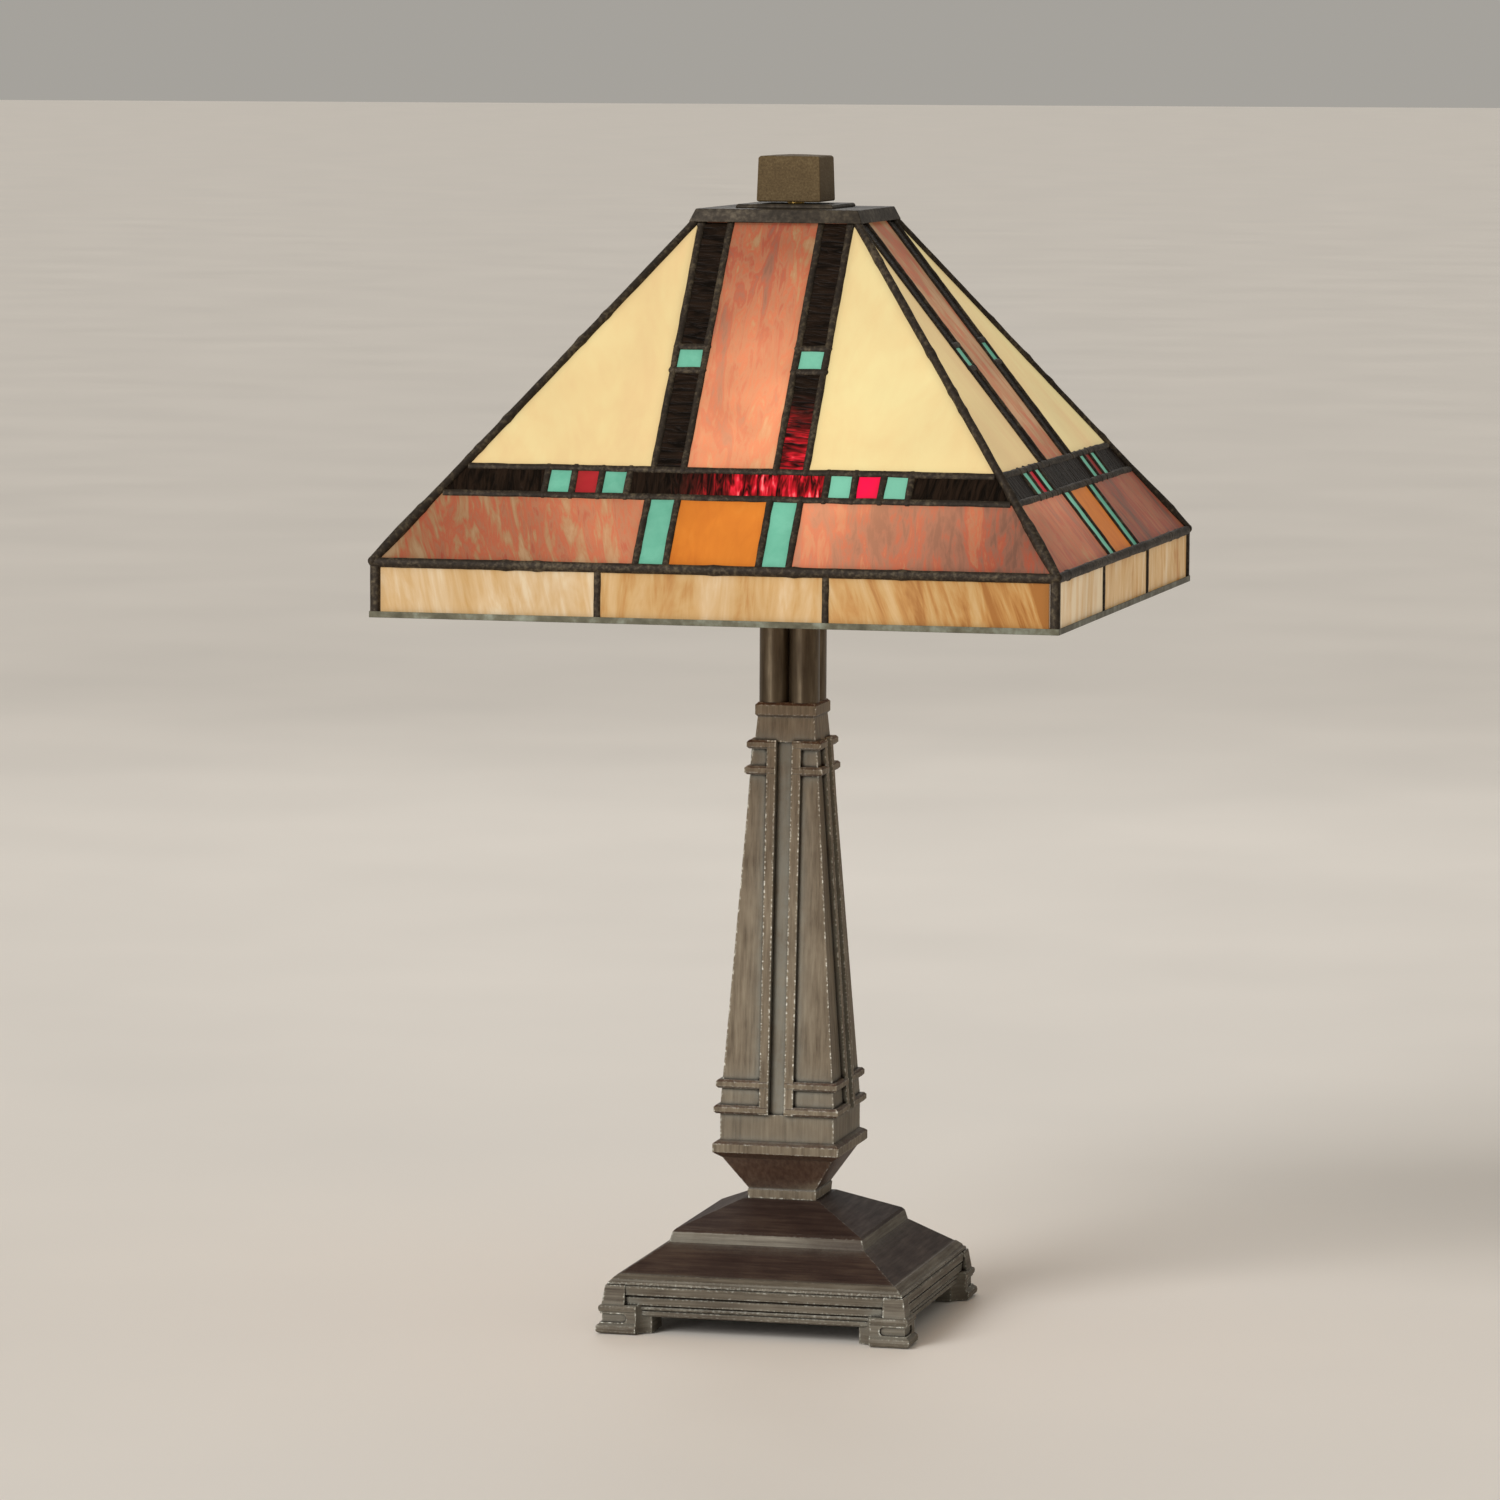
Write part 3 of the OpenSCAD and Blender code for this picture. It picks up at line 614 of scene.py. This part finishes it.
def pane(whole, inner, put, seed, lean_range, across_grain):
    """Adds one pane, with the places and random numbers that its material reads, to the mesh whole."""
    outline = [under_hip(p) for p in inner]
    bm = pane_block(inner, outline)
    grain = bm.verts.layers.float_vector.new("grain")
    finish = bm.verts.layers.float_vector.new("finish")
    chance = random.Random(seed)
    lean = chance.uniform(*lean_range)
    tint = chance.random()
    offset = chance.uniform(0, 9)
    for vert in bm.verts:
        u, v = vert.co.x, vert.co.y
        away = edge_distance(vert.co, outline) / MM - RIM_STEPS[0]
        rim = 1 - math.exp(-max(0.0, away) / RIM_FADE)
        vert[grain] = (v, u, offset) if across_grain else (u, v, offset)
        vert[finish] = (lean, tint, rim)
    for vert in bm.verts:
        vert.co = put(*vert.co)
    part = bpy.data.meshes.new("part")
    bm.to_mesh(part)
    bm.free()
    whole.from_mesh(part)
    bpy.data.meshes.remove(part)


def on_side(face, side):
    """The function from (u, v, out) on the front's face to the same place on a side."""
    def put(u, v, out):
        return turned(face.solid(u, v, out), side)

    return put


def glass_piece(node, kind, sides, material):
    """All the panes of one kind on these sides, in place of their CAD node."""
    face = apron if kind == "apron_panes" else slope
    salt = ROSE_SALT if kind == "rose_panes" else SALT
    bm = bmesh.new()
    for side in sides:
        for number, outline in enumerate(front_outlines(face, kind)):
            us, vs = [p.x for p in outline], [p.y for p in outline]
            upright = max(vs) - min(vs) > max(us) - min(us)
            pane(bm, outline, on_side(face, side), f"{salt} {kind} {side} {number}",
                 LEANS.get(kind, SMALL_LEANS), kind == "ruby_panes" and upright)
    made = mesh_object(f"{node}_glass", bm)
    give(made, material)
    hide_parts(node)
    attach(made, "shade")
    kind.split("_")[0] + "_glass"


def all_glass():
    """Every pane: one piece where a CAD node holds all four sides' panes, or else one for each side."""
    for kind, material in glass_materials().items():
        if kind in nodes:
            glass_piece(kind, kind, range(4), material)
            continue
        for side in range(4):
            glass_piece(f"{SIDES[side]}_{kind}", kind, [side], material)


# ---------- solder ----------

HALF_LINE = 1.85 * MM    # half the width of a solder line
LINE_HIGH = 1.05 * MM    # how far it stands out of the glass
INNER_HIGH = 0.75 * MM   # and how far it stands into the shade
LINE_STEP = 2.6 * MM     # from one ring of its mesh to the next, at most
BEAD_STEP = 2.2 * MM     # the same for the beads along the seams
SWELL_PLACE = 22 * MM    # where along a hip its bead is thickest, and how far from there it thins
SWELL_REACH = 17 * MM
POST_OUT = 1.25 * MM     # how far a corner post stands out of the apron
POST_ROUND = 0.62        # how rounded its section is: 1 is a circle, and nearer 0 is squarer


def ring_strip(bm, rings):
    """Joins closed rings of points into a tube with capped ends."""
    made = [[bm.verts.new(p) for p in ring] for ring in rings]
    count = len(made[0])
    for first, second in zip(made, made[1:]):
        for i in range(count):
            j = (i + 1) % count
            bm.faces.new((first[i], first[j], second[j], second[i]))
    bm.faces.new(made[0][::-1])
    bm.faces.new(made[-1])


def line_section(half, high):
    """Section of a solder line through both faces of the glass: [(sideways, out)]."""
    outer = [(half * math.cos(math.pi * k / 6), high * math.sin(math.pi * k / 6)) for k in range(7)]
    inner = [(-half * math.cos(math.pi * k / 4), -GLASS - INNER_HIGH * math.sin(math.pi * k / 4))
             for k in range(5)]
    return outer + [(-HEART, 0), (-HEART, -GLASS)] + inner + [(HEART, -GLASS), (HEART, 0)]


def wobble(place, pitch, seed):
    """A smooth random number between -1 and 1 that changes over pitch along a run."""
    return noise.noise(Vector((place / pitch, seed * 13.7, seed * 3.1)))


def solder_line(bm, put, start, end, fixed, upright, seed):
    """One run of solder, its width, height and path slightly uneven as solder is."""
    steps = max(2, round((end - start) / LINE_STEP))
    rings = []
    for k in range(steps + 1):
        s = start + (end - start) * k / steps
        half = HALF_LINE * (1 + 0.13 * wobble(s, 7 * MM, seed))
        high = LINE_HIGH * (1 + 0.22 * wobble(s, 5 * MM, seed + 5))
        shift = 0.28 * MM * wobble(s, 15 * MM, seed + 9)
        ring = []
        for across, out in line_section(half, high):
            place = fixed + (across + shift if abs(across) > HEART else across)
            ring.append(put(place, s, out) if upright else put(s, place, out))
        rings.append(ring)
    ring_strip(bm, rings)


def solder_joint(bm, put, u, v, seed):
    """The slightly higher puddle where two solder lines meet."""
    wide = 2.35 * MM * (1 + 0.15 * wobble(u, 9 * MM, seed))
    high = LINE_HIGH * 1.12
    rings = []
    turns = [math.tau * k / 10 for k in range(10)]
    for level in range(4):
        tilt = math.radians(level * 27)
        reach = wide * math.cos(tilt)
        rise = high * math.sin(tilt)
        rings.append([put(u + reach * math.cos(a), v + reach * math.sin(a), rise) for a in turns])
    ring_strip(bm, rings)


SLOPE_KINDS = ["cream_panes", "rose_panes", "ruby_panes", "teal_tiles", "red_tiles", "amber_panes"]


def slope_came(bm, side, seeds):
    """The solder lines of a sloping side, and the puddles where they cross. Its eave and top have none."""
    put = on_side(slope, side)
    level, upright = pattern_lines(slope, SLOPE_KINDS)
    top = max(v for v, low, high in level)

    def inside(v):
        """Whether a level line is neither the eave's nor the top's."""
        return 3 * MM < v < top - 1 * MM

    for v, low, high in level:
        if inside(v):
            solder_line(bm, put, low, high, v, False, next(seeds))
    for u, low, high in upright:
        solder_line(bm, put, low, high, u, True, next(seeds))
        for v, left, right in level:
            if low - 1 * MM < v < high + 1 * MM and left - 1 * MM < u < right + 1 * MM:
                seed = next(seeds)
                if inside(v):
                    solder_joint(bm, put, u, v, seed)


def apron_came(bm, side, seeds):
    """The upright solder lines of an apron side, apart from those at its ends."""
    upright = pattern_lines(apron, ["apron_panes"])[1]
    end = max(u for u, low, high in upright)
    for u, low, high in upright:
        if abs(u) < end - 1 * MM:
            solder_line(bm, on_side(apron, side), low, high, u, True, next(seeds))


def came(side, material):
    """All the solder lines of one side, slope and apron."""
    bm = bmesh.new()
    seeds = itertools.count(side * 31 + 2)
    slope_came(bm, side, seeds)
    apron_came(bm, side, seeds)
    made = mesh_object(f"{SIDES[side]}_solder", bm, sharp=50)
    give(made, material)
    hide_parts(f"{SIDES[side]}_lattice", f"{SIDES[side]}_apron_lattice")
    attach(made, "shade")


def round_bead(bm, start, end, radius, seed, lumps, tall=1.0, swell=0.0):
    """A round bead from start to end, with lumps. Its upright radius is tall times the other.

    It is thicker by swell near the start.
    """
    along = (end - start).normalized()
    across = along.cross(Vector((0, 0, 1)))
    across = across.normalized() if across.length > 0.1 else Vector((1, 0, 0))
    third = across.cross(along)
    length = (end - start).length
    steps = round(length / BEAD_STEP)
    turns = [math.tau * k / 12 for k in range(12)]
    chance = random.Random(seed)
    spots = [(chance.uniform(0.05, 0.95) * length, chance.uniform(0.2, 0.5) * MM) for _ in range(lumps)]
    rings = []
    for k in range(steps + 1):
        s = length * k / steps
        size = radius * (1 + 0.05 * wobble(s, 6 * MM, seed))
        size += sum(rise * math.exp(-((s - place) / (2.4 * MM)) ** 2) for place, rise in spots)
        size += swell * math.exp(-((s - SWELL_PLACE) / SWELL_REACH) ** 2)
        centre = start + along * s + across * 0.2 * MM * wobble(s, 18 * MM, seed + 3)
        high = third * size * tall
        rings.append([centre + across * size * math.cos(a) + high * math.sin(a) for a in turns])
    ring_strip(bm, rings)


def corner_post(bm, side, low, high):
    """The rounded upright of solder that joins two apron sides."""
    inner = slope.half - GLASS - INNER_HIGH
    outer = slope.half + POST_OUT
    middle, reach = (inner + outer) / 2, (outer - inner) / 2
    steps = round((high - low) / BEAD_STEP)
    rings = []
    for k in range(steps + 1):
        z = low + (high - low) * k / steps
        size = reach * (1 + 0.03 * wobble(z, 5 * MM, side + 40))
        ring = []
        for i in range(20):
            a = math.tau * i / 20
            c, s = math.cos(a), math.sin(a)
            x = middle + size * math.copysign(abs(c) ** POST_ROUND, c)
            y = -middle + size * math.copysign(abs(s) ** POST_ROUND, s)
            ring.append(turned(Vector((x, y, z)), side))
        rings.append(ring)
    ring_strip(bm, rings)


def seams(material):
    """Beads up the hips, round the eave and down the apron's corners."""
    rim_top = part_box("rim_channel")[1].z
    half = slope.half
    shade_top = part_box("cap_skirt")[0].z + 1.5 * MM
    run = (shade_top - slope.eave.z) * slope.up.y / slope.up.z
    corner = Vector((half, -half, slope.eave.z))
    top = Vector((half - run, -half + run, shade_top))
    inward = (top - corner).normalized()
    drop = Vector((0, 0.2 * MM, -0.5 * MM))
    eave_start = Vector((-half, -half, slope.eave.z)) + drop
    bm = bmesh.new()
    for side in range(4):
        round_bead(bm, turned(corner + inward * 1 * MM, side), turned(top, side), 2.2 * MM, side + 11,
                   lumps=6, swell=0.8 * MM)
        round_bead(bm, turned(eave_start, side), turned(corner + drop, side), 2.05 * MM, side + 21,
                   lumps=5, tall=1.25)
        corner_post(bm, side, rim_top - 2 * MM, slope.eave.z)
        ball = bmesh.ops.create_icosphere(bm, subdivisions=3, radius=2.45 * MM)
        bmesh.ops.translate(bm, verts=ball["verts"], vec=turned(corner + inward * 0.2 * MM, side))
    made = mesh_object("seam_solder", bm, sharp=60)
    give(made, material)
    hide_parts("seam_beads")
    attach(made, "shade")


# ---------- the lamp ----------

all_glass()

solder = worn_metal(
    "solder_patina", colour(28, 22, 16), colour(48, 39, 29), colour(98, 86, 66),
    grain=420, rough=(0.5, 0.7), metal=0.25, depth=0.4 * MM)
rim_metal = worn_metal(
    "rim_patina", colour(66, 62, 48), colour(96, 93, 77), colour(134, 138, 124),
    grain=120, rough=(0.4, 0.55), metal=0.5)
cap_metal = worn_metal(
    "cap_bronze", colour(34, 29, 23), colour(56, 48, 38), colour(88, 78, 62),
    grain=350, rough=(0.45, 0.65), metal=0.3)
finial_metal = worn_metal(
    "finial_bronze", colour(70, 54, 32), colour(92, 74, 45), colour(112, 94, 62),
    grain=900, rough=(0.6, 0.75), metal=0.0)
tube_metal = worn_metal(
    "neck_bronze", colour(62, 52, 41), colour(88, 77, 62), colour(116, 104, 86),
    grain=300, rough=(0.36, 0.44), metal=0.8, fine=(1, 1, 0.1), depth=0.1 * MM)
face_tones = [(0.0, colour(82, 70, 56)), (0.5, colour(112, 100, 83)), (1.0, colour(134, 122, 103))]
base_tones = [(0.0, colour(66, 57, 48)), (0.5, colour(94, 86, 74)), (1.0, colour(120, 113, 100))]
# darker tones for faces far from upright, as painted shade: the base's, then the column's
base_shaded_slope_tones = [(0.0, colour(38, 24, 20)), (0.5, colour(55, 41, 35)), (1.0, colour(74, 60, 50))]
column_shaded_slope_tones = [(0.0, colour(58, 38, 30)), (0.5, colour(80, 60, 48)), (1.0, colour(98, 78, 64))]
column_metal = aged_bronze(
    "column_bronze", face_tones, column_shaded_slope_tones, slope_from=0.0, fine=(1, 1, 0.045),
    edge_wear_and_glint_tones=(colour(142, 138, 122), colour(236, 234, 222)))
base_metal = aged_bronze(
    "base_bronze", base_tones, base_shaded_slope_tones, slope_from=30.5 * MM, fine=(0.06, 0.06, 1.6),
    edge_wear_and_glint_tones=(colour(140, 138, 124), colour(212, 212, 202)))
brass = plain("brass", colour(196, 158, 88), rough=0.3, metal=1.0)

for side in range(4):
    came(side, solder)
seams(solder)

give("rim_channel", rim_metal)
give("top_frame", solder)
give("finial", finial_metal)
give("column", column_metal)
give("base", base_metal)
for node in ("cap_skirt", "cap_plate", "cluster_body"):
    give(node, cap_metal)
for node in ("neck_sleeve", "neck_cap"):
    give(node, tube_metal)
for node in ("finial_bush", "seat_washer", "seat_nut", "riser_rod", "lamp_pipe", "pipe_nuts"):
    give(node, brass)
for node in ("rim_channel", "cap_skirt", "cap_plate", "column", "base"):
    soften(node, 0.5 * MM)
soften("finial", 0.35 * MM)
give("base_cover", plain("cover_black", colour(30, 30, 30), rough=0.55))
give("foot_pads", plain("pad_rubber", colour(28, 28, 28), rough=0.9))
give("cord_bushing", plain("bushing_black", colour(24, 24, 24), rough=0.5))
bulb_light = lit_bulb()
black = plain("socket_black", colour(26, 25, 24), rough=0.5)
cap_silver = plain("bulb_cap_metal", colour(196, 190, 178), rough=0.32, metal=1.0)
for name in ("front", "back"):
    give(f"{name}_socket_shell", brass)
    give(f"{name}_socket_liner", black)
    give(f"{name}_switch_knob", black)
    give(f"{name}_bulb_base", cap_silver)
    give(f"{name}_bulb_glass", bulb_light)


# ---------- stage, lights and camera ----------


def stage_floor():
    """A pale floor that reaches to the horizon."""
    bm = bmesh.new()
    bmesh.ops.create_grid(bm, x_segments=1, y_segments=1, size=60.0)
    floor = mesh_object("floor", bm)
    floor.data.materials.append(plain("floor_pale", colour(236, 229, 220), rough=0.6, grain=3.0, vary=0.02))


def area_light(name, place, aim, size, power):
    """A soft round lamp at a place, facing aim."""
    data = bpy.data.lights.new(name, "AREA")
    data.shape = "DISK"
    data.size = size
    data.energy = power
    lamp = bpy.data.objects.new(name, data)
    lamp.location = place
    lamp.rotation_euler = (Vector(aim) - Vector(place)).to_track_quat("-Z", "Y").to_euler()
    bpy.context.scene.collection.objects.link(lamp)


def set_lights():
    """A pale room, a wide soft sun over the left shoulder and three weak soft lights."""
    world = bpy.data.worlds.new("room")
    world.use_nodes = True
    background = world.node_tree.nodes["Background"]
    background.inputs["Color"].default_value = colour(246, 241, 232)
    background.inputs["Strength"].default_value = 0.41
    bpy.context.scene.world = world
    key = bpy.data.objects.new("key", bpy.data.lights.new("key", "SUN"))
    key.data.energy = 1.8
    key.data.angle = math.radians(28)
    key.rotation_euler = Vector((1.4, 2.3, -1.6)).to_track_quat("-Z", "Y").to_euler()
    bpy.context.scene.collection.objects.link(key)
    area_light("low", place=(-1.0, -2.5, 0.55), aim=(0, 0, 0.3), size=1.2, power=14)
    area_light("fill", place=(2.2, -1.6, 1.2), aim=(0, 0, 0.3), size=1.8, power=0.8)
    area_light("back", place=(-0.6, 2.4, 1.8), aim=(0, 0, 0.35), size=1.6, power=8)


def set_camera():
    """A little above the lamp and to the right of its front, far back with a long lens, looking down.

    Its numbers were fitted to the photograph, in metres and degrees.
    """
    stand_off, height, azimuth = 3.779, 0.691, math.radians(13.55)
    heading, pitch, roll = math.radians(13.89), math.radians(5.9), math.radians(0.31)
    focal = 4.815  # in widths of the picture
    data = bpy.data.cameras.new("camera")
    data.sensor_width = 36
    data.lens = 36 * focal
    data.clip_end = 50
    camera = bpy.data.objects.new("camera", data)
    right = Vector((math.cos(heading), math.sin(heading), 0))
    ahead = Vector((-math.sin(heading), math.cos(heading), 0))
    forward = ahead * math.cos(pitch) - Vector((0, 0, math.sin(pitch)))
    up = right.cross(forward)
    turn_right = right * math.cos(roll) + up * math.sin(roll)
    turn_up = up * math.cos(roll) - right * math.sin(roll)
    place = Vector((stand_off * math.sin(azimuth), -stand_off * math.cos(azimuth), height))
    facing = Matrix((turn_right, turn_up, -forward)).transposed().to_4x4()
    camera.matrix_world = Matrix.Translation(place) @ facing
    bpy.context.scene.collection.objects.link(camera)
    bpy.context.scene.camera = camera


bpy.context.scene.view_settings.view_transform = "Standard"
stage_floor()
set_lights()
set_camera()
